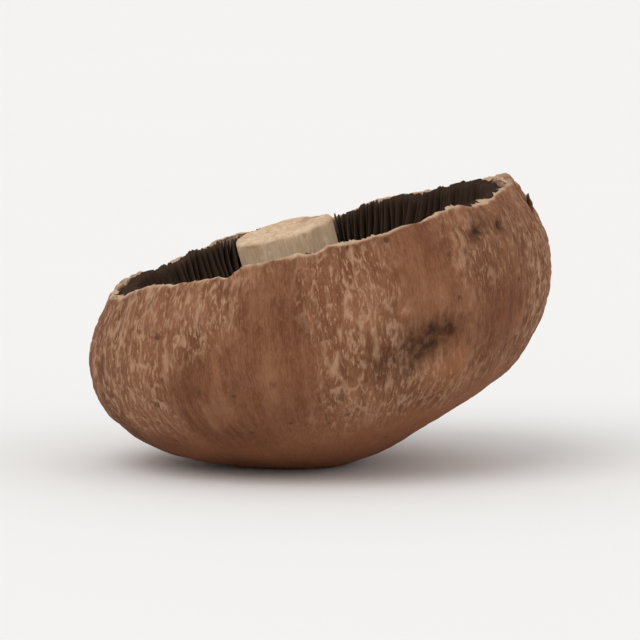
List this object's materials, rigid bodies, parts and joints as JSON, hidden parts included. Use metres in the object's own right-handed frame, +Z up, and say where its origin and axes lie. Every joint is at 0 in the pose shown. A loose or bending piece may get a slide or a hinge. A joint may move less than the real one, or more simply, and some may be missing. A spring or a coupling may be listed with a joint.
{
  "type": "portobello mushroom",
  "caption": "Whole fresh portobello mushroom lying on its crown: deep brown cap with a curled-in margin, dark radial gills and a trimmed pale stem.",
  "frame": {"origin": "middle of the flat spot on the crown that the mushroom rests on", "axes": "+Z up, from the crown towards the gills; +X towards the side where the rim stands highest; -Y is the side that the picture shows"},
  "size_m": [0.0825, 0.0818, 0.052],
  "materials": {
    "cap_skin": "matt brown skin with fine fibres along the cap and paler flecks",
    "gill": "dull dark chocolate-brown gill blades",
    "stem_flesh": "matt cream flesh with fine lengthwise fibres"
  },
  "bodies": {
    "root": {"cap": "cap_skin", "gills": "gill", "stem": "stem_flesh"}
  },
  "joints": []
}
